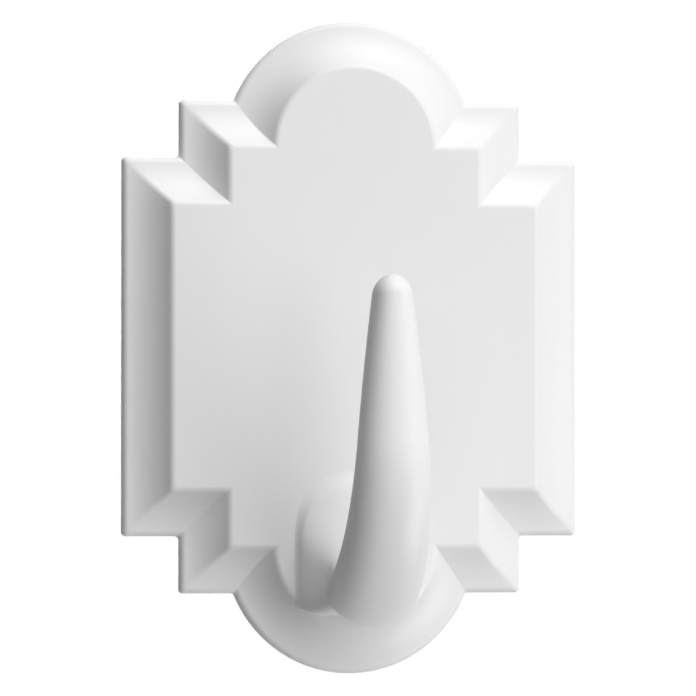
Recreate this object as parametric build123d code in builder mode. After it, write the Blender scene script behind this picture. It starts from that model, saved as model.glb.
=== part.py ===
from build123d import *
from math import cos, pi, radians, sin, sqrt
import os

# A small wall hook: a stepped decorative plaque and a J-shaped hook, moulded
# together in one piece, and the foam pad that sticks it to the wall.
# Millimetres. The wall is the plane y = 0, the front faces -Y and +Z is up.
# The origin is the centre of the pad's back face, in the middle of the plaque.

# Plaque outline: a wide band, a narrower and taller panel, and a round lobe at
# the top and the bottom, all sharing one coved edge.
band_width = 48.0
band_height = 39.0
panel_width = 36.0
panel_height = 50.8
lobe_radius = 13.2
lobe_centre_height = 20.5
corner_round = 0.45

# Section of the plaque's edge, from the wall forwards and then inwards.
rim_height = 0.95
rim_round = 0.75
cove_start_slope = 4.0
cove_width = 4.7
face_round = 0.85
plaque_thickness = 3.6

# Adhesive pad, and the pocket in the plaque's back that it sits in.
pad_width = 30.0
pad_height = 46.0
pad_thickness = 1.1
pad_corner_round = 3.0
pad_clearance = 0.3
pocket_depth = 0.7

# Hook: a centre line that leaves the plaque's face level, bends upwards and
# runs up the prong, and the half sizes of the sections across it. The inner
# side faces the plaque, the outer side faces down and forwards.
arm_reach = 0.6
bend_radius = 16.4
bend_height = -10.12
bend_turn = 91.2
prong_length = 16.85
bowl_half_width = 4.7
bowl_inner_half_thickness = 3.05
bowl_outer_half_thickness = 3.7
tip_half_width = 1.75
tip_half_thickness = 1.9
tip_dome_length = 2.05
width_taper = 2.0
thickness_taper = 1.7

# Squareness of a section: 2 is an ellipse and more is boxier.
bowl_inner_squareness = 2.6
bowl_outer_squareness = 2.1
tip_squareness = 2.3

# The arm's root on the plaque's face, and the length over which it flares out.
root_top = -12.95
root_bottom = -27.15
root_half_width = 6.25
root_inner_squareness = 2.5
root_outer_squareness = 12.0
root_embed = 2.0
flare_length = 8.0
flare_power = 2.4

# The neck between the root and the bowl: how much each side narrows there, and
# how much the underside rises.
neck_length = 7.8
neck_waist = 1.6
neck_lift = 2.2

# How many sections shape each stretch of the hook, and how many points shape a
# section. The flare's sections crowd towards the plaque's face and the shaft's
# towards the bend. The dome's last section, at dome_reach degrees of its quarter
# turn, is a small flat.
flare_sections = 14
flare_crowding = 1.2
shaft_sections = 16
shaft_crowding = 1.2
dome_sections = 5
dome_reach = 78.0
section_points = 20

# Depths measured forwards from the wall.
plaque_back = pad_thickness - pocket_depth
face_depth = plaque_back + plaque_thickness

# Lengths along the hook's centre line, and the height where it leaves the face.
bend_length = bend_radius * radians(bend_turn)
hook_length = arm_reach + bend_length + prong_length
arm_height = bend_height - bend_radius

# The planes that the plaque's section is drawn on: local X points outwards from
# the middle of the plaque, local Y points forwards from its back.
sideways_section = Plane(origin=(0, -plaque_back, 0), x_dir=(1, 0, 0), z_dir=(0, 0, -1))
upright_section = Plane(origin=(0, -plaque_back, 0), x_dir=(0, 0, 1), z_dir=(1, 0, 0))
plaque_back_plane = Plane.XZ.offset(plaque_back)


def cove_half_section(half_size, plane):
    """Half of the plaque's section, from its middle out to a rim half_size away."""
    slope = radians(cove_start_slope)
    rim_top = (half_size, rim_height)
    face_edge = (half_size - cove_width, plaque_thickness)
    with BuildSketch(plane) as section:
        with BuildLine():
            Polyline((0, plaque_thickness), (0, 0), (half_size, 0), rim_top)
            TangentArc(rim_top, face_edge, tangent=(-cos(slope), sin(slope)))
            Line(face_edge, (0, plaque_thickness))
        make_face()
        rim_corner = section.vertices().group_by(Axis.X)[-1].sort_by(Axis.Y)[-1]
        fillet(rim_corner, rim_round)
        face_corner = section.vertices().group_by(Axis.Y)[-1].sort_by(Axis.X)[-1]
        fillet(face_corner, face_round)
    return section.sketch


def coved_bar(half_size, length, plane):
    """A straight bar with the plaque's section, half_size from its middle to each rim."""
    half_section = cove_half_section(half_size, plane)
    with BuildPart() as bar:
        extrude(half_section, amount=length / 2, both=True)
        mirror(about=Plane(plane.origin, x_dir=plane.y_dir, z_dir=plane.x_dir))
    return bar.part


def coved_block(width, height):
    """A rectangular block with the cove along all four edges, mitred at its corners."""
    with BuildPart() as block:
        add(coved_bar(width / 2, height, sideways_section))
        add(coved_bar(height / 2, width, upright_section), mode=Mode.INTERSECT)
        with BuildSketch(plaque_back_plane):
            RectangleRounded(width, height, corner_round)
        extrude(amount=plaque_thickness, mode=Mode.INTERSECT)
    return block.part


def coved_disc(radius, centre_height):
    """A round block with the same cove turned about its own middle."""
    plane = Plane(origin=(0, -plaque_back, centre_height), x_dir=(1, 0, 0), z_dir=(0, 0, -1))
    half_section = cove_half_section(radius, plane)
    with BuildPart() as disc:
        revolve(half_section, axis=Axis(plane.origin, plane.y_dir))
    return disc.part


def section_curve(plane, half_width, inner, outer, inner_squareness, outer_squareness):
    """A closed curve between an ellipse and a rectangle, drawn from its polar form.

    It reaches inner above the plane's origin and outer below it, and is widest
    midway between the two.
    """
    middle = (inner - outer) / 2
    half_thickness = (inner + outer) / 2
    points = []
    for index in range(section_points):
        angle = 2 * pi * index / section_points - pi / 2
        across, up = cos(angle), sin(angle)
        squareness = inner_squareness if up > 0 else outer_squareness
        reach = (abs(across) ** squareness + abs(up) ** squareness) ** (-1 / squareness)
        points.append((half_width * across * reach, middle + half_thickness * up * reach))
    with BuildSketch(plane) as section:
        with BuildLine():
            add(Edge.make_spline(points, periodic=True, parameters=range(section_points + 1)))
        make_face()
    return section.sketch


def between(start, end, share):
    """The value that lies a share of the way from start to end."""
    return start + (end - start) * share


def hook_section(travel):
    """The section across the hook, travel along its centre line from the plaque's face."""
    turn = min(max(travel - arm_reach, 0) / bend_radius, radians(bend_turn))
    straight = max(travel - arm_reach - bend_length, 0)
    depth = face_depth + min(travel, arm_reach) + bend_radius * sin(turn) + straight * cos(turn)
    height = bend_height - bend_radius * cos(turn) + straight * sin(turn)
    share = max(travel - arm_reach, 0) / (hook_length - arm_reach)
    flare = max(1 - max(travel, 0) / flare_length, 0) ** flare_power
    neck = sin(pi * min(max(travel / neck_length, 0), 1)) ** 2
    past_dome = max(travel - hook_length + tip_dome_length, 0) / tip_dome_length
    dome = sqrt(1 - past_dome ** 2)

    half_width = between(bowl_half_width, tip_half_width, share ** width_taper) * dome
    inner = between(bowl_inner_half_thickness, tip_half_thickness, share ** thickness_taper) * dome
    outer = between(bowl_outer_half_thickness, tip_half_thickness, share ** thickness_taper) * dome
    inner_squareness = between(bowl_inner_squareness, tip_squareness, share)
    outer_squareness = between(bowl_outer_squareness, tip_squareness, share)

    half_width += (root_half_width - bowl_half_width) * flare - neck_waist * neck
    inner += (root_top - arm_height - bowl_inner_half_thickness) * flare
    outer += (arm_height - root_bottom - bowl_outer_half_thickness) * flare - neck_lift * neck
    inner_squareness += (root_inner_squareness - bowl_inner_squareness) * flare
    outer_squareness += (root_outer_squareness - bowl_outer_squareness) * flare

    plane = Plane(origin=(0, -depth, height), x_dir=(1, 0, 0), z_dir=(0, -cos(turn), sin(turn)))
    return section_curve(plane, half_width, inner, outer, inner_squareness, outer_squareness)


dome_start = hook_length - tip_dome_length
travels = [-root_embed, -root_embed / 2]
travels += [flare_length * (index / flare_sections) ** flare_crowding for index in range(flare_sections)]
for index in range(shaft_sections):
    share = (index / shaft_sections) ** shaft_crowding
    travels.append(between(flare_length, dome_start, share))
for index in range(dome_sections + 1):
    angle = radians(dome_reach) * index / dome_sections
    travels.append(dome_start + tip_dome_length * sin(angle))

with BuildPart() as hook:
    loft([hook_section(travel) for travel in travels], ruled=True)

with BuildPart() as moulded_hook:
    add(coved_block(band_width, band_height))
    add(coved_block(panel_width, panel_height))
    add(coved_disc(lobe_radius, lobe_centre_height))
    add(coved_disc(lobe_radius, -lobe_centre_height))
    add(hook.part)
    with BuildSketch(plaque_back_plane):
        RectangleRounded(
            pad_width + 2 * pad_clearance,
            pad_height + 2 * pad_clearance,
            pad_corner_round + pad_clearance,
        )
    extrude(amount=pocket_depth, mode=Mode.SUBTRACT)

with BuildPart() as adhesive_pad:
    with BuildSketch(Plane.XZ):
        RectangleRounded(pad_width, pad_height, pad_corner_round)
    extrude(amount=pad_thickness)

moulded_hook.part.label = "moulded_hook"
adhesive_pad.part.label = "adhesive_pad"

os.makedirs("parts", exist_ok=True)
export_step(moulded_hook.part, "parts/moulded_hook.step")
export_step(adhesive_pad.part, "parts/adhesive_pad.step")
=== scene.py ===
from math import cos, pi, radians, sin

import bpy
import numpy as np
from bpy.props import FloatProperty, FloatVectorProperty, IntProperty, PointerProperty
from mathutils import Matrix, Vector


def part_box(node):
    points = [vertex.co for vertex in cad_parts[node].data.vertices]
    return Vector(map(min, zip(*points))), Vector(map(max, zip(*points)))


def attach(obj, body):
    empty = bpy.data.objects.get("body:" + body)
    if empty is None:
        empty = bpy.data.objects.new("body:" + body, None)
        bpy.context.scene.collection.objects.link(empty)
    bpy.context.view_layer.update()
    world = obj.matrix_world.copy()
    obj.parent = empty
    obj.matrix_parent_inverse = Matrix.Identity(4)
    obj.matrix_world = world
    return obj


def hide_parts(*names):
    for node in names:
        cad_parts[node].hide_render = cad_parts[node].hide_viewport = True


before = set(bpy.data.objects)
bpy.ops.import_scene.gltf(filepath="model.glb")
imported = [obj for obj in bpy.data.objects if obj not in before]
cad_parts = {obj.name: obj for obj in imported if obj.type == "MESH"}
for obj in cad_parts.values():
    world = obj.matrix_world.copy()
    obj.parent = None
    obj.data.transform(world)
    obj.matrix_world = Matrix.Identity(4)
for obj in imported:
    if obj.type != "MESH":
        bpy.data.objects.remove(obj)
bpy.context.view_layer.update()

bl_info = {
    "name": "Stick-on Wall Hook",
    "version": (1, 0, 0),
    "blender": (4, 5, 0),
    "location": "View3D > Sidebar > Wall Hook",
    "description": "A cove-edged plaque with a J-shaped hook, moulded in one piece, on a foam pad",
    "category": "Add Mesh",
}

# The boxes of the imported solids, from which some of the sizes below are read.
HOOK_LOW, HOOK_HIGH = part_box("moulded_hook")
PAD_LOW, PAD_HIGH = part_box("adhesive_pad")
MILLIMETRE = 0.001
LOBE_RADIUS = 13.2 * MILLIMETRE

# Mesh steps on a quarter of the plaque's outline, from the lobe to the band's side.
LOBE_STEPS = 40
CORNER_STEPS = 6
PANEL_TOP_STEPS = 4
PANEL_SIDE_STEPS = 3
BAND_TOP_STEPS = 3
BAND_SIDE_STEPS = 8

# Mesh steps across the plaque's edge, from its back to its face.
BACK_STEPS = 4
RIM_STEPS = 14
COVE_STEPS = 26
FACE_STEPS = 10

# Mesh steps along the hook inside the plaque and over the tip's dome, and the power
# by which the sections between them crowd towards the plaque.
EMBED_STEPS = 8
DOME_STEPS = 24
SECTION_CROWDING = 1.25

# Share of the root fillet's height that its curve takes, so that it ends before it
# runs flat along the face.
FILLET_SHARE = 0.96

# Mesh steps on a quarter of a rounded rectangle, and through the pad's foam core.
RECTANGLE_TOP_STEPS = 12
RECTANGLE_CORNER_STEPS = 12
RECTANGLE_SIDE_STEPS = 18
CORE_STEPS = 8
SMALLEST_ROUND = 0.01 * MILLIMETRE

# Rows of points that each film has round the pad: one on its flat side, two on its edge.
FILM_ROWS = 3

# Waves round the pad that make the cut edge of its foam uneven, with their phases in radians.
CUT_WAVES = ((31, 0.0), (53, 1.0), (97, 2.0))

# Edges that turn by more than this stay sharp in the shading.
MOULDING_SHARP_ANGLE = radians(24)
PAD_SHARP_ANGLE = radians(35)

# The floor's rings and sides, and the share of its radius that lies inside the first ring.
FLOOR_RINGS = 12
FLOOR_SIDES = 96
FLOOR_HUB = 0.02

# Where each soft lamp stands: its angles in degrees, to the right of the hook's front
# and above level, then its distance and the length of its sides in metres.
LAMPS = {
    "key": (35, 48, 1.0, 0.8),
    "side": (35, 8, 1.0, 0.8),
    "front": (-12, 26, 1.0, 0.8),
    "top": (30, 75, 1.0, 0.9),
    "low": (60, -36, 0.42, 0.24),
    "back": (180, 20, 1.0, 0.8),
}

# Places of the share and the two colours among a Mix node's inputs, and of the mixed
# colour among its outputs.
MIX_SHARE, MIX_FIRST, MIX_SECOND = 0, 6, 7
MIX_COLOUR = 2


def length(name, description, default):
    """A size in metres that the sidebar shows as a length."""
    return FloatProperty(
        name=name, description=description, default=default, unit="LENGTH", precision=5
    )


def millimetres(name, description, default):
    """A size whose default is given in millimetres."""
    return length(name, description, default * MILLIMETRE)


def factor(name, description, default):
    """A plain number."""
    return FloatProperty(name=name, description=description, default=default, precision=3)


def degrees(name, description, default):
    """An angle whose default is given in degrees."""
    return FloatProperty(
        name=name, description=description, default=radians(default), subtype="ANGLE"
    )


def count(name, description, default):
    """A whole number of mesh steps."""
    return IntProperty(name=name, description=description, default=default, min=1)


def colour(name, description, default):
    """A linear colour."""
    return FloatVectorProperty(
        name=name, description=description, default=default, size=3, subtype="COLOR", min=0, max=1
    )


class PlaqueSizes(bpy.types.PropertyGroup):
    """The stepped plaque: a wide band, a taller panel and a round lobe at each end."""

    back_depth: length("Back depth", "From the wall to the plaque's back", -HOOK_HIGH.y)
    band_width: length("Band width", "Width of the wide band", HOOK_HIGH.x - HOOK_LOW.x)
    band_height: millimetres("Band height", "Height of the wide band", 39.0)
    panel_width: millimetres("Panel width", "Width of the tall panel", 36.0)
    panel_height: millimetres("Panel height", "Height of the tall panel", 50.8)
    lobe_radius: length("Lobe radius", "Radius of the round ends", LOBE_RADIUS)
    lobe_centre: length(
        "Lobe centre", "Height of the upper lobe's centre", HOOK_HIGH.z - LOBE_RADIUS
    )
    corner_round: millimetres("Corner round", "Radius of the outline's corners", 0.45)
    mitre_round: millimetres("Mitre round", "Radius left on the mitred edges of the cove", 0.42)
    valley_round: millimetres("Valley round", "Radius of the outline's inward corners", 0.42)
    crease_round: millimetres("Crease round", "Radius left in the creases of the cove", 0.08)
    back_round: millimetres("Back round", "Radius of the edge at the back", 0.12)
    rim_height: millimetres("Rim height", "Height at which the cove starts", 0.95)
    rim_round: millimetres("Rim round", "Radius between the rim and the cove", 0.75)
    cove_start_slope: degrees("Cove start slope", "Slope of the cove at the rim", 4.0)
    cove_width: millimetres("Cove width", "Width of the cove, seen from the front", 4.7)
    face_round: millimetres("Face round", "Radius between the cove and the face", 0.85)
    thickness: millimetres("Thickness", "From the plaque's back to its face", 3.6)
    flat_margin: millimetres("Flat margin", "Width of the mesh strip inside the face's edge", 0.12)
    pocket_clearance: millimetres("Pocket clearance", "Gap round the pad in its pocket", 0.3)
    pocket_depth: millimetres("Pocket depth", "Depth of the pad's pocket", 0.7)


class HookSizes(bpy.types.PropertyGroup):
    """The hook: an arm that leaves the plaque's face, a bend and a tapered prong."""

    arm_reach: millimetres("Arm reach", "Level length before the bend", 0.6)
    bend_radius: millimetres("Bend radius", "Radius of the centre line's bend", 16.4)
    bend_height: millimetres("Bend height", "Height of the bend's centre", -10.12)
    bend_turn: degrees("Bend turn", "Angle that the centre line turns", 91.2)
    prong_length: millimetres("Prong length", "Straight length above the bend", 16.85)
    bowl_half_width: millimetres("Bowl half width", "Half width at the bottom of the bend", 4.7)
    bowl_inner: millimetres("Bowl inner", "Half thickness towards the plaque, in the bend", 3.05)
    # This is 0.05 mm under the solid's, which keeps the finer mesh inside the solid's box.
    bowl_outer: millimetres("Bowl outer", "Half thickness away from the plaque, in the bend", 3.65)
    tip_half_width: millimetres("Tip half width", "Half width where the tip's dome starts", 1.75)
    tip_half_thickness: millimetres("Tip half thickness", "Half thickness at the same place", 1.9)
    tip_dome: millimetres("Tip dome", "Length of the rounded tip", 2.05)
    width_taper: factor("Width taper", "Power of the prong's taper in width", 2.0)
    thickness_taper: factor("Thickness taper", "Power of the prong's taper in thickness", 1.7)
    bowl_inner_squareness: factor("Bowl inner squareness", "2 is an ellipse, more is boxier", 2.6)
    bowl_outer_squareness: factor("Bowl outer squareness", "2 is an ellipse, more is boxier", 2.1)
    tip_squareness: factor("Tip squareness", "2 is an ellipse, more is boxier", 2.3)
    root_top: millimetres("Root top", "Height of the root's top on the face", -12.95)
    root_bottom: millimetres("Root bottom", "Height of the root's bottom on the face", -27.15)
    root_half_width: millimetres("Root half width", "Half width of the root on the face", 6.25)
    root_inner_squareness: factor("Root inner squareness", "2 is an ellipse, more is boxier", 2.5)
    root_outer_squareness: factor("Root outer squareness", "2 is an ellipse, more is boxier", 12.0)
    root_embed: millimetres("Root embed", "How far the root runs into the plaque", 2.0)
    root_fillet: millimetres("Root fillet", "Radius of the fillet round the root", 0.4)
    flare_length: millimetres("Flare length", "Length over which the root flares out", 8.0)
    flare_power: factor("Flare power", "How sharply the flare dies away", 2.4)
    neck_length: millimetres("Neck length", "Length of the narrowing behind the bend", 7.8)
    neck_waist: millimetres("Neck waist", "How much each side narrows at the neck", 1.6)
    neck_lift: millimetres("Neck lift", "How much the underside rises at the neck", 2.2)
    sections: count("Sections", "Mesh sections from the face to the tip's dome", 200)
    section_points: count("Section points", "Mesh points round each section", 128)


class PadSizes(bpy.types.PropertyGroup):
    """The foam pad that sticks the plaque to the wall."""

    corner_round: millimetres("Corner round", "Radius of the pad's corners", 3.0)
    film: millimetres("Film", "Thickness of the adhesive film on each face", 0.08)
    face_strip: millimetres("Face strip", "Width of the mesh strip inside each face's edge", 0.32)
    core_inset: millimetres("Core inset", "How far the foam's edge lies inside the films'", 0.06)
    core_bulge: millimetres("Core bulge", "How far the foam's edge swells at mid thickness", 0.05)
    core_wave: millimetres("Core wave", "Unevenness of the cut edge of the foam", 0.02)


class HookFinish(bpy.types.PropertyGroup):
    """Colours and gloss."""

    plastic: colour("Plastic", "White moulded plastic", (0.80, 0.80, 0.80))
    plastic_roughness: factor("Plastic roughness", "Mean roughness of the plastic", 0.36)
    foam: colour("Foam", "Off-white foam", (0.76, 0.75, 0.72))
    film: colour("Film", "Adhesive film on the pad's faces", (0.72, 0.72, 0.70))
    floor: colour("Floor", "Pale floor", (0.82, 0.82, 0.82))


class StageSettings(bpy.types.PropertyGroup):
    """The camera, the floor and the lamps."""

    camera_azimuth: degrees(
        "Camera azimuth", "Angle of the camera to the left of the hook's front", 12.5
    )
    camera_elevation: degrees("Camera elevation", "Angle of the camera above level", -1.0)
    camera_distance: millimetres(
        "Camera distance", "From the camera to the point it looks at", 735.0
    )
    camera_lens: FloatProperty(
        name="Lens", description="Focal length of the camera", default=367.4, unit="CAMERA"
    )
    aim_side: millimetres("Aim side", "Sideways place of the point it looks at", -0.068)
    aim_height: millimetres("Aim height", "Height of the point it looks at", -0.068)
    floor_drop: millimetres("Floor drop", "From the hook's lowest point to the floor", 330.0)
    floor_radius: millimetres("Floor radius", "Radius of the round floor", 300.0)
    ambient: factor("Ambient", "Strength of the even light from all round", 0.04)
    key: factor("Key", "Power of the lamp high on the right, in watts", 4.6)
    side: factor("Side", "Power of the lamp to the right of the front, in watts", 3.75)
    front: factor("Front", "Power of the lamp in front, in watts", 2.05)
    top: factor("Top", "Power of the lamp overhead, in watts", 4.3)
    low: factor("Low", "Power of the lamp low on the right, in watts", 0.54)
    back: factor("Back", "Power of the lamp behind the plaque, in watts", 7.0)


class Wire:
    """One shader socket. Arithmetic on it adds Math nodes, and node() adds any other node.

    A Wire without a socket only adds nodes to its tree.
    """

    def __init__(self, tree, socket=None):
        self.tree = tree
        self.socket = socket

    def node(self, kind, settings=None, sockets=None, output=0):
        """Adds a node of this kind: its settings first, then the values or links of its sockets."""
        made = self.tree.nodes.new(kind)
        for name, value in (settings or {}).items():
            setattr(made, name, value)
        for name, value in (sockets or {}).items():
            if isinstance(value, Wire):
                self.tree.links.new(value.socket, made.inputs[name])
            else:
                made.inputs[name].default_value = value
        return Wire(self.tree, made.outputs[output] if made.outputs else None)

    def math(self, operation, left, right):
        """Adds a Math node with this operation on the two."""
        return self.node("ShaderNodeMath", {"operation": operation}, {0: left, 1: right})

    def __add__(self, other):
        return self.math("ADD", self, other)

    def __radd__(self, other):
        return self.math("ADD", other, self)

    def __mul__(self, other):
        return self.math("MULTIPLY", self, other)

    def __rmul__(self, other):
        return self.math("MULTIPLY", other, self)


def new_material(name):
    """A material without nodes, and a Wire that adds them to it."""
    material = bpy.data.materials.new(name)
    material.use_nodes = True
    material.node_tree.nodes.clear()
    return material, Wire(material.node_tree)


def object_place(wire):
    """The place of a point on the object, in metres."""
    return wire.node("ShaderNodeTexCoord", output="Object")


def noise(wire, place, scale, detail):
    """A noise value from 0 to 1 over the object, with scale features to the metre."""
    sockets = {"Vector": place, "Scale": scale, "Detail": detail}
    return wire.node("ShaderNodeTexNoise", {}, sockets)


def cell_pattern(wire, place, scale, smoothness):
    """Distance to the nearest cell's middle, in a pattern of scale round cells to the metre."""
    sockets = {"Vector": place, "Scale": scale, "Smoothness": smoothness}
    return wire.node("ShaderNodeTexVoronoi", {"feature": "SMOOTH_F1"}, sockets)


def bump(wire, height, depth, strength):
    """Normals as if the surface rose by depth, in metres, as the height goes from 0 to 1.

    The strength is the share of them that is mixed into the surface's own.
    """
    sockets = {"Height": height, "Distance": depth, "Strength": strength}
    return wire.node("ShaderNodeBump", {}, sockets)


def tint(wire, first, second, share):
    """The colour that lies a varying share of the way from first to second."""
    sockets = {MIX_SHARE: share, MIX_FIRST: (*first, 1), MIX_SECOND: (*second, 1)}
    return wire.node("ShaderNodeMix", {"data_type": "RGBA"}, sockets, output=MIX_COLOUR)


def shaded(plain, scale):
    """The colour made lighter or darker by a factor."""
    return tuple(channel * scale for channel in plain)


def surface(wire, sockets):
    """Puts a Principled shader with these sockets on the material's surface."""
    shader = wire.node("ShaderNodeBsdfPrincipled", {}, sockets)
    wire.node("ShaderNodeOutputMaterial", {}, {"Surface": shader})


def white_plastic(finish):
    """White plastic with a soft gloss, faint flow marks and a very fine mould texture.

    The flow marks run up and down, so their noise is stretched in height.
    """
    material, wire = new_material("white_plastic")
    place = object_place(wire)
    upright = wire.node("ShaderNodeMapping", {}, {"Vector": place, "Scale": (1.0, 1.0, 0.35)})
    flow = noise(wire, upright, 90.0, 3.0)
    grain = noise(wire, place, 2600.0, 2.0)
    ripple = noise(wire, place, 420.0, 1.0)
    darker, lighter = shaded(finish.plastic, 0.985), shaded(finish.plastic, 1.012)
    # The two noises have a mean of a half, so taking off 0.03 keeps the mean roughness.
    roughness = finish.plastic_roughness - 0.03 + 0.04 * flow + 0.02 * grain
    sockets = {
        "Base Color": tint(wire, darker, lighter, flow),
        "Roughness": roughness,
        "IOR": 1.46,
        "Normal": bump(wire, grain * 0.5 + ripple, 0.01 * MILLIMETRE, 0.25),
    }
    surface(wire, sockets)
    return material


def foam_core(finish):
    """Closed-cell foam: fine round cells in the bump and a little in the colour."""
    material, wire = new_material("foam_core")
    place = object_place(wire)
    cells = cell_pattern(wire, place, 4200.0, 0.6)
    patches = noise(wire, place, 240.0, 3.0)
    lightness = cells * 0.5 + patches * 0.5
    sockets = {
        "Base Color": tint(wire, shaded(finish.foam, 0.93), finish.foam, lightness),
        "Roughness": 0.82 + 0.12 * patches,
        "Normal": bump(wire, cells, 0.08 * MILLIMETRE, 0.7),
    }
    surface(wire, sockets)
    return material


def adhesive_film(finish):
    """The tacky film on the foam: faintly glossy, with shallow dimples and a slight mottle."""
    material, wire = new_material("adhesive_film")
    place = object_place(wire)
    mottle = noise(wire, place, 320.0, 4.0)
    dimples = cell_pattern(wire, place, 900.0, 0.8)
    sockets = {
        "Base Color": tint(wire, shaded(finish.film, 0.94), shaded(finish.film, 1.03), mottle),
        "Roughness": 0.34 + 0.25 * mottle,
        "Normal": bump(wire, dimples + mottle, 0.06 * MILLIMETRE, 0.35),
    }
    surface(wire, sockets)
    return material


def floor_material(finish):
    """A pale matt floor with a faint mottle."""
    material, wire = new_material("pale_floor")
    mottle = noise(wire, object_place(wire), 9.0, 4.0)
    sockets = {
        "Base Color": tint(wire, shaded(finish.floor, 0.99), shaded(finish.floor, 1.01), mottle),
        "Roughness": 0.7 + 0.1 * mottle,
    }
    surface(wire, sockets)
    return material


def line(start, end, steps, first=1):
    """Points evenly along a straight line from start to end, for every row at once.

    The start itself is left out, unless first is 0, because the run before has it.
    """
    share = np.linspace(0, 1, steps + 1)[first:]
    x = start[0] + (end[0] - start[0]) * share
    z = start[1] + (end[1] - start[1]) * share
    return np.stack(np.broadcast_arrays(x, z), -1)


def arc(centre, radius, start, end, steps, first=1):
    """Points evenly round an arc from one angle to another, for every row at once.

    Each is the centre plus the radius times the cosine and the sine of its angle.
    The first point is left out as in line().
    """
    angle = start + (end - start) * np.linspace(0, 1, steps + 1)[first:]
    x = centre[0] + radius * np.cos(angle)
    z = centre[1] + radius * np.sin(angle)
    return np.stack(np.broadcast_arrays(x, z), -1)


def closed_loop(quarter):
    """A whole loop from its upper right quarter, mirrored downwards and then sideways."""
    lower = quarter[:, -2::-1] * (1, -1)
    right = np.concatenate([quarter, lower], axis=1)
    left = right[:, -2:0:-1] * (-1, 1)
    return np.concatenate([right, left], axis=1)


def plaque_outline(sizes, inset):
    """The stepped outline moved inwards by each inset.

    A quarter of it is the lobe's arc, whose radius shrinks by the inset, then the
    panel's top and side and the band's top and side, each moved in by the inset,
    with a small arc at every corner. The arc between the lobe and the panel's top
    touches both from outside.
    """
    s = inset[:, None]
    half_band = (sizes.band_width / 2 - s, sizes.band_height / 2 - s)
    half_panel = (sizes.panel_width / 2 - s, sizes.panel_height / 2 - s)
    radius = sizes.lobe_radius - s
    corner = np.maximum(sizes.corner_round - s, sizes.mitre_round)
    valley = np.maximum(sizes.valley_round - s, sizes.crease_round)
    centre = (0.0, sizes.lobe_centre)
    junction = np.arcsin((half_panel[1] + valley - sizes.lobe_centre) / (radius + valley))
    beside_lobe = ((radius + valley) * np.cos(junction), half_panel[1] + valley)
    panel_corner = (half_panel[0] - corner, half_panel[1] - corner)
    inner = (half_panel[0] + valley, half_band[1] + valley)
    band_corner = (half_band[0] - corner, half_band[1] - corner)
    quarter = [
        arc(centre, radius, pi / 2, junction, LOBE_STEPS, first=0),
        arc(beside_lobe, valley, pi + junction, 3 * pi / 2, CORNER_STEPS),
        line((beside_lobe[0], half_panel[1]), (panel_corner[0], half_panel[1]), PANEL_TOP_STEPS),
        arc(panel_corner, corner, pi / 2, 0, CORNER_STEPS),
        line((half_panel[0], panel_corner[1]), (half_panel[0], inner[1]), PANEL_SIDE_STEPS),
        arc(inner, valley, pi, 3 * pi / 2, CORNER_STEPS),
        line((inner[0], half_band[1]), (band_corner[0], half_band[1]), BAND_TOP_STEPS),
        arc(band_corner, corner, pi / 2, 0, CORNER_STEPS),
        line((half_band[0], band_corner[1]), (half_band[0], 0 * s), BAND_SIDE_STEPS),
    ]
    return closed_loop(np.concatenate(quarter, axis=1))


def edge_profile(sizes):
    """The plaque's edge as insets and heights above its back.

    From the back: a small arc, the upright rim, a convex arc, the concave cove,
    a convex arc that ends level with the face, and a narrow strip of the face. The
    cove is the circle that leaves the rim's top at the start slope and passes
    through the face's edge, so its radius is the square of the chord between them
    over twice the chord's length along the circle's normal at the rim. Each convex
    arc touches it from outside.
    """
    slope = sizes.cove_start_slope
    normal = np.array([-sin(slope), cos(slope)])
    start = np.array([0.0, sizes.rim_height])
    chord = np.array([sizes.cove_width, sizes.thickness]) - start
    radius = chord @ chord / (2 * chord @ normal)
    centre = start + radius * normal

    rim_gap = radius + sizes.rim_round
    rim_side = sizes.rim_round - centre[0]
    rim_centre = (sizes.rim_round, centre[1] - np.sqrt(rim_gap**2 - rim_side**2))
    rim_angle = np.arctan2(centre[1] - rim_centre[1], centre[0] - rim_centre[0])

    face_gap = radius + sizes.face_round
    face_drop = centre[1] - (sizes.thickness - sizes.face_round)
    face_side = centre[0] + np.sqrt(face_gap**2 - face_drop**2)
    face_centre = (face_side, sizes.thickness - sizes.face_round)
    face_angle = np.arctan2(centre[1] - face_centre[1], centre[0] - face_centre[0])

    back = sizes.back_round
    flat = face_centre[0] + sizes.flat_margin
    runs = [
        arc((back, back), back, 3 * pi / 2, pi, BACK_STEPS, first=0),
        arc(rim_centre, sizes.rim_round, pi, rim_angle, RIM_STEPS, first=0),
        arc(centre, radius, rim_angle - pi, face_angle - pi, COVE_STEPS),
        arc(face_centre, sizes.face_round, face_angle, pi / 2, FACE_STEPS),
        np.array([[flat, sizes.thickness]]),
    ]
    profile = np.concatenate(runs)
    return profile[:, 0], profile[:, 1]


def plaque_height(sizes, x, z):
    """Height of the plaque's front above its back at any x and z.

    It is the edge profile's height at the greatest inset that the point has in the
    band, the panel or a lobe. The profile's small arc at the back plays no part in it.
    """
    insets, heights = edge_profile(sizes)
    x, z = np.abs(x), np.abs(z)
    band = np.minimum(sizes.band_width / 2 - x, sizes.band_height / 2 - z)
    panel = np.minimum(sizes.panel_width / 2 - x, sizes.panel_height / 2 - z)
    lobe = sizes.lobe_radius - np.hypot(x, z - sizes.lobe_centre)
    inset = np.maximum(np.maximum(band, panel), lobe)
    front = slice(BACK_STEPS + 1, None)
    return np.interp(inset, insets[front], heights[front])


def quads(rows, columns):
    """Faces between neighbouring rows of a grid whose columns close on themselves."""
    row = np.arange(rows - 1)[:, None] * columns
    here = np.arange(columns)[None]
    beside = (here + 1) % columns
    corners = [row + here, row + beside, row + columns + beside, row + columns + here]
    return np.stack(corners, -1).reshape(-1, 4)


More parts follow.
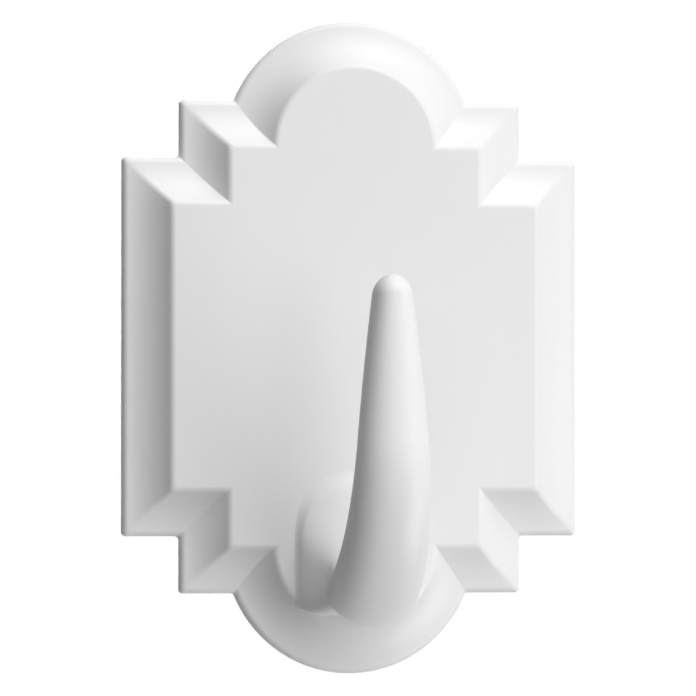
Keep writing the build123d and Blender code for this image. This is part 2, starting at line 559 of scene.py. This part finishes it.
def tube(name, points, material):
    """A closed object from rows of points that close on themselves, with a flat face at both ends.

    Seen from beyond the last row, the points of a row run anticlockwise, so that the
    faces point outwards.
    """
    rows, columns = points.shape[:2]
    total = rows * columns
    first = list(range(columns))[::-1]
    last = list(range(total - columns, total))
    faces = quads(rows, columns).tolist() + [first, last]
    mesh = bpy.data.meshes.new(name)
    mesh.from_pydata(points.reshape(-1, 3).tolist(), [], faces)
    mesh.materials.append(material)
    mesh.update()
    made = bpy.data.objects.new(name, mesh)
    bpy.context.scene.collection.objects.link(made)
    return made


def plaque_points(sizes):
    """The edge profile carried round the outline: each height has the outline of its inset.

    The rows run from the face to the back, so that the mesh's faces point outwards.
    """
    insets, heights = edge_profile(sizes)
    outline = plaque_outline(sizes, insets)
    depth = np.broadcast_to(-(sizes.back_depth + heights)[:, None], outline.shape[:2])
    return np.stack([outline[..., 0], depth, outline[..., 1]], -1)[::-1]


def hook_travels(sizes, dome_start):
    """Distances along the centre line from the plaque's face, one for each section.

    They are even inside the plaque, crowd towards it as a power of their share as far
    as the dome, and follow the sine of an even turn over the dome.
    """
    embed = np.linspace(-sizes.root_embed, 0, EMBED_STEPS, endpoint=False)
    shaft = dome_start * np.linspace(0, 1, sizes.sections) ** SECTION_CROWDING
    dome_turn = np.linspace(0, pi / 2, DOME_STEPS + 1)[1:-1]
    return np.concatenate([embed, shaft, dome_start + sizes.tip_dome * np.sin(dome_turn)])


def fillet_width(sizes, plaque, x, y, z):
    """How far the fillet round the root stands out from the hook at each point.

    It is a concave arc that touches the hook's side one radius above the plaque's
    front. Below that its width is the radius minus the square root of the radius
    squared minus the height to go squared, where the height to go is a share of how
    far the point lies below the place where the arc touches.
    """
    over = np.clip(-y - plaque.back_depth - plaque_height(plaque, x, z), 0, sizes.root_fillet)
    to_go = FILLET_SHARE * (1 - over / sizes.root_fillet)
    return sizes.root_fillet * (1 - np.sqrt(1 - to_go**2))


def hook_points(sizes, plaque):
    """Sections across the hook, one for each travel along its centre line.

    The centre line runs level out of the face, turns upwards round an arc and goes
    straight up the prong. A section is a superellipse drawn from its polar form,
    with one squareness above its middle and another below. Its half width and the
    inner and outer reach from the centre line taper as powers of the travel's
    share. A flare that dies away with its own power adds the root, a squared sine
    takes off the neck's sides and underside, and the tip shrinks as a quarter
    circle. The fillet stands out along the normal of the ellipse that has the
    section's half sizes.
    """
    bend_length = sizes.bend_radius * sizes.bend_turn
    total = sizes.arm_reach + bend_length + sizes.prong_length
    dome_start = total - sizes.tip_dome
    arm_height = sizes.bend_height - sizes.bend_radius
    travel = hook_travels(sizes, dome_start)

    turn = np.clip((travel - sizes.arm_reach) / sizes.bend_radius, 0, sizes.bend_turn)
    straight = np.clip(travel - sizes.arm_reach - bend_length, 0, None)
    depth = plaque.back_depth + plaque.thickness + np.minimum(travel, sizes.arm_reach)
    depth = depth + sizes.bend_radius * np.sin(turn) + straight * np.cos(turn)
    height = sizes.bend_height - sizes.bend_radius * np.cos(turn) + straight * np.sin(turn)

    share = np.clip(travel - sizes.arm_reach, 0, None) / (total - sizes.arm_reach)
    flare = np.clip(1 - np.clip(travel, 0, None) / sizes.flare_length, 0, 1) ** sizes.flare_power
    neck = np.sin(pi * np.clip(travel / sizes.neck_length, 0, 1)) ** 2
    dome = np.sqrt(1 - (np.clip(travel - dome_start, 0, None) / sizes.tip_dome) ** 2)

    def along_hook(bowl, tip, root, power=1.0, shrink=1.0):
        """From the bowl's value to the tip's as a power of the share, plus the root's flare."""
        return (bowl + (tip - bowl) * share**power) * shrink + (root - bowl) * flare

    tip_half_thickness, taper = sizes.tip_half_thickness, sizes.thickness_taper
    root_inner = sizes.root_top - arm_height
    root_outer = arm_height - sizes.root_bottom
    half_width = along_hook(
        sizes.bowl_half_width, sizes.tip_half_width, sizes.root_half_width, sizes.width_taper, dome
    )
    half_width = half_width - sizes.neck_waist * neck
    inner = along_hook(sizes.bowl_inner, tip_half_thickness, root_inner, taper, dome)
    outer = along_hook(sizes.bowl_outer, tip_half_thickness, root_outer, taper, dome)
    outer = outer - sizes.neck_lift * neck
    inner_square = along_hook(
        sizes.bowl_inner_squareness, sizes.tip_squareness, sizes.root_inner_squareness
    )
    outer_square = along_hook(
        sizes.bowl_outer_squareness, sizes.tip_squareness, sizes.root_outer_squareness
    )

    angle = 2 * pi * np.arange(sizes.section_points) / sizes.section_points - pi / 2
    across, up = np.cos(angle)[None], np.sin(angle)[None]
    squareness = np.where(up > 0, inner_square[:, None], outer_square[:, None])
    reach = (np.abs(across) ** squareness + np.abs(up) ** squareness) ** (-1 / squareness)
    half_thickness = (inner + outer)[:, None] / 2
    side = half_width[:, None] * across * reach
    rise = half_thickness * up * reach
    along = (inner - outer)[:, None] / 2 + rise
    y = -(depth[:, None] - along * np.sin(turn)[:, None])
    z = height[:, None] + along * np.cos(turn)[:, None]

    normal_x = side / half_width[:, None] ** 2
    normal_z = rise / half_thickness**2
    fillet = fillet_width(sizes, plaque, side, y, z) / np.hypot(normal_x, normal_z)
    return np.stack([side + fillet * normal_x, y, z + fillet * normal_z], -1)


def rounded_rectangle(width, height, corner, inset):
    """A rectangle with round corners, moved inwards by each inset.

    A quarter of it runs along the top, round the corner's arc and down the side.
    """
    s = inset[:, None]
    half_width, half_height = width / 2 - s, height / 2 - s
    radius = np.maximum(corner - s, SMALLEST_ROUND)
    centre = (half_width - radius, half_height - radius)
    quarter = [
        line((0 * s, half_height), (centre[0], half_height), RECTANGLE_TOP_STEPS, first=0),
        arc(centre, radius, pi / 2, 0, RECTANGLE_CORNER_STEPS),
        line((half_width, centre[1]), (half_width, 0 * s), RECTANGLE_SIDE_STEPS),
    ]
    return closed_loop(np.concatenate(quarter, axis=1))


def slab_points(outline, depths):
    """Rows of an outline in x and z, each at its own depth from the wall."""
    y = np.broadcast_to(-depths[:, None], outline.shape[:2])
    return np.stack([outline[..., 0], y, outline[..., 1]], -1)


def pocket_points(plaque, pad):
    """A block with the outline of the pad and its clearance, from the pocket's floor backwards.

    It runs as far out of the plaque's back as into it.
    """
    margin = 2 * plaque.pocket_clearance
    width = PAD_HIGH.x - PAD_LOW.x + margin
    height = PAD_HIGH.z - PAD_LOW.z + margin
    corner = pad.corner_round + plaque.pocket_clearance
    outline = rounded_rectangle(width, height, corner, np.zeros(2))
    depths = plaque.back_depth + np.array([plaque.pocket_depth, -plaque.pocket_depth])
    return slab_points(outline, depths)


def pad_points(sizes):
    """Rows round the pad from its front to the wall: a film, the foam core and a film.

    Each film has a narrow strip on its flat side and a straight edge. The core lies
    inside the films and swells outwards by the sine of its share of a half turn, from
    one film to the other. The same sine draws the core's edge in, by one plus the mean
    of a few waves round the pad.
    """
    film = sizes.film
    thickness = PAD_HIGH.y - PAD_LOW.y
    through = np.linspace(0, 1, CORE_STEPS + 1)
    swell = np.sin(pi * through)
    core_depths = film + (thickness - 2 * film) * through
    core_insets = sizes.core_inset - sizes.core_bulge * swell
    depths = np.concatenate([[0, 0, film], core_depths, [thickness - film, thickness, thickness]])
    insets = np.concatenate([[sizes.face_strip, 0, 0], core_insets, [0, 0, sizes.face_strip]])
    outline = rounded_rectangle(
        PAD_HIGH.x - PAD_LOW.x, PAD_HIGH.z - PAD_LOW.z, sizes.corner_round, insets
    )
    points = slab_points(outline, depths)

    place = np.arctan2(points[..., 2], points[..., 0])
    wave = sum(np.sin(number * place + phase) for number, phase in CUT_WAVES) / len(CUT_WAVES)
    drawn_in = np.zeros((len(depths), 1))
    drawn_in[FILM_ROWS:-FILM_ROWS, 0] = sizes.core_wave * swell
    scale = 1 - drawn_in * (1 + wave) / PAD_HIGH.x
    points[..., 0] *= scale
    points[..., 2] *= scale
    return points[::-1]


def combine(base, other, operation):
    """Joins the other closed shape to the base or cuts it out, and removes the other."""
    modifier = base.modifiers.new(operation.lower(), "BOOLEAN")
    modifier.operation = operation
    modifier.object = other
    modifier.solver = "EXACT"
    graph = bpy.context.evaluated_depsgraph_get()
    made = bpy.data.meshes.new_from_object(base.evaluated_get(graph), depsgraph=graph)
    base.modifiers.clear()
    old = base.data
    base.data = made
    made.name = base.name
    bpy.data.meshes.remove(old)
    bpy.data.objects.remove(other)


def smooth(piece, angle):
    """Smooth shading that keeps the edges sharper than the angle, with large faces left flat."""
    mesh = piece.data
    mesh.polygons.foreach_set("use_smooth", np.ones(len(mesh.polygons), bool))
    mesh.set_sharp_from_angle(angle=angle)
    weighted = piece.modifiers.new("weighted_normals", "WEIGHTED_NORMAL")
    weighted.keep_sharp = True
    mesh.update()


class MouldedHook(bpy.types.Operator):
    """Builds the plaque and the hook as one moulded piece"""

    bl_idname = "wall_hook.moulded_hook"
    bl_label = "Moulded hook"

    def execute(self, context):
        plaque = context.scene.hook_plaque
        material = white_plastic(context.scene.hook_finish)
        moulding = tube("moulded_plaque_hook", plaque_points(plaque), material)
        prong = tube("prong", hook_points(context.scene.hook_prong, plaque), material)
        pocket = tube("pocket", pocket_points(plaque, context.scene.hook_pad), material)
        combine(moulding, prong, "UNION")
        combine(moulding, pocket, "DIFFERENCE")
        smooth(moulding, MOULDING_SHARP_ANGLE)

        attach(moulding, "root")
        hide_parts("moulded_hook")
        return {"FINISHED"}


class AdhesivePad(bpy.types.Operator):
    """Builds the foam pad with an adhesive film on both faces"""

    bl_idname = "wall_hook.adhesive_pad"
    bl_label = "Adhesive pad"

    def execute(self, context):
        finish = context.scene.hook_finish
        points = pad_points(context.scene.hook_pad)
        pad = tube("foam_pad", points, foam_core(finish))
        pad.data.materials.append(adhesive_film(finish))
        rows, columns = points.shape[:2]
        slots = np.zeros(len(pad.data.polygons), np.int32)
        slots[: (FILM_ROWS - 1) * columns] = 1
        slots[(rows - FILM_ROWS) * columns :] = 1
        pad.data.polygons.foreach_set("material_index", slots)
        smooth(pad, PAD_SHARP_ANGLE)

        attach(pad, "root")
        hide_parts("adhesive_pad")
        return {"FINISHED"}


def direction(turn, rise):
    """The direction from the hook, turned to the right of its front and raised above level."""
    return Vector((sin(turn) * cos(rise), -cos(turn) * cos(rise), sin(rise)))


def place_facing(name, data, aim, towards, distance):
    """Puts a camera or a lamp at a distance from the point that it faces."""
    holder = bpy.data.objects.new(name, data)
    holder.location = aim + distance * towards
    holder.rotation_euler = towards.to_track_quat("Z", "Y").to_euler()
    bpy.context.scene.collection.objects.link(holder)
    return holder


def add_camera(stage):
    """The camera at the angle of the photograph."""
    camera = bpy.data.cameras.new("camera")
    camera.lens = stage.camera_lens
    camera.sensor_width = 36.0
    camera.clip_start = 0.01
    camera.clip_end = 20.0
    aim = Vector((stage.aim_side, HOOK_HIGH.y, stage.aim_height))
    towards = direction(-stage.camera_azimuth, stage.camera_elevation)
    holder = place_facing("camera", camera, aim, towards, stage.camera_distance)
    bpy.context.scene.camera = holder


def add_lamp(name, azimuth, elevation, distance, size, power):
    """A square soft lamp that shines on the middle of the hook, placed as LAMPS says."""
    lamp = bpy.data.lights.new(name, "AREA")
    lamp.shape = "SQUARE"
    lamp.size = size
    lamp.energy = power
    towards = direction(radians(azimuth), radians(elevation))
    place_facing(name, lamp, Vector(), towards, distance)


def pale_world(ambient):
    """White behind the object and in its reflections, and a dimmer even light on it."""
    world = bpy.data.worlds.new("studio")
    bpy.context.scene.world = world
    world.use_nodes = True
    world.node_tree.nodes.clear()
    wire = Wire(world.node_tree)
    camera, glossy, through = (
        wire.node("ShaderNodeLightPath", output=f"Is {ray} Ray")
        for ray in ("Camera", "Glossy", "Transmission")
    )
    seen = wire.math("MAXIMUM", camera, wire.math("MAXIMUM", glossy, through))
    light = wire.node("ShaderNodeBackground", {}, {"Color": (1, 1, 1, 1), "Strength": ambient})
    white = wire.node("ShaderNodeBackground", {}, {"Color": (1, 1, 1, 1), "Strength": 1.0})
    mixed = wire.node("ShaderNodeMixShader", {}, {0: seen, 1: light, 2: white})
    wire.node("ShaderNodeOutputWorld", {}, {"Surface": mixed})


def add_floor(stage, finish):
    """A round floor below the hook: rings round its middle, at evenly growing radii."""
    radius = np.linspace(FLOOR_HUB, 1, FLOOR_RINGS)[:, None] * stage.floor_radius
    angle = 2 * pi * np.arange(FLOOR_SIDES)[None] / FLOOR_SIDES
    height = np.full((FLOOR_RINGS, FLOOR_SIDES), HOOK_LOW.z - stage.floor_drop)
    points = np.stack([radius * np.cos(angle), radius * np.sin(angle), height], -1)
    faces = quads(FLOOR_RINGS, FLOOR_SIDES)[:, ::-1].tolist() + [list(range(FLOOR_SIDES))]
    mesh = bpy.data.meshes.new("floor")
    mesh.from_pydata(points.reshape(-1, 3).tolist(), [], faces)
    mesh.materials.append(floor_material(finish))
    mesh.update()
    floor = bpy.data.objects.new("floor", mesh)
    bpy.context.scene.collection.objects.link(floor)


class Studio(bpy.types.Operator):
    """Sets up the pale floor, the white background, the soft lamps and the camera"""

    bl_idname = "wall_hook.studio"
    bl_label = "Studio"

    def execute(self, context):
        stage = context.scene.hook_stage
        context.scene.view_settings.view_transform = "Standard"
        pale_world(stage.ambient)
        add_floor(stage, context.scene.hook_finish)
        for name, placing in LAMPS.items():
            add_lamp(f"{name}_lamp", *placing, getattr(stage, name))
        add_camera(stage)
        return {"FINISHED"}


class WallHookPanel(bpy.types.Panel):
    """Lists the wall hook's operators and settings"""

    bl_idname = "VIEW3D_PT_wall_hook"
    bl_label = "Wall Hook"
    bl_space_type = "VIEW_3D"
    bl_region_type = "UI"
    bl_category = "Wall Hook"

    def draw(self, context):
        layout = self.layout
        for operator in OPERATORS:
            layout.operator(operator.bl_idname)
        for group_name in SETTINGS:
            group = getattr(context.scene, group_name)
            box = layout.box()
            for property_name in group.__annotations__:
                box.prop(group, property_name)


OPERATORS = (MouldedHook, AdhesivePad, Studio)
SETTINGS = {
    "hook_plaque": PlaqueSizes,
    "hook_prong": HookSizes,
    "hook_pad": PadSizes,
    "hook_finish": HookFinish,
    "hook_stage": StageSettings,
}


def register():
    """Adds the settings to every scene, and the operators and the panel."""
    for group_name, group in SETTINGS.items():
        bpy.utils.register_class(group)
        setattr(bpy.types.Scene, group_name, PointerProperty(type=group))
    for item in (*OPERATORS, WallHookPanel):
        bpy.utils.register_class(item)


def unregister():
    """Takes away what register() added."""
    for item in (WallHookPanel, *OPERATORS[::-1]):
        bpy.utils.unregister_class(item)
    for group_name, group in SETTINGS.items():
        delattr(bpy.types.Scene, group_name)
        bpy.utils.unregister_class(group)


def main():
    register()
    bpy.ops.wall_hook.moulded_hook()
    bpy.ops.wall_hook.adhesive_pad()
    bpy.ops.wall_hook.studio()


if __name__ == "__main__":
    main()
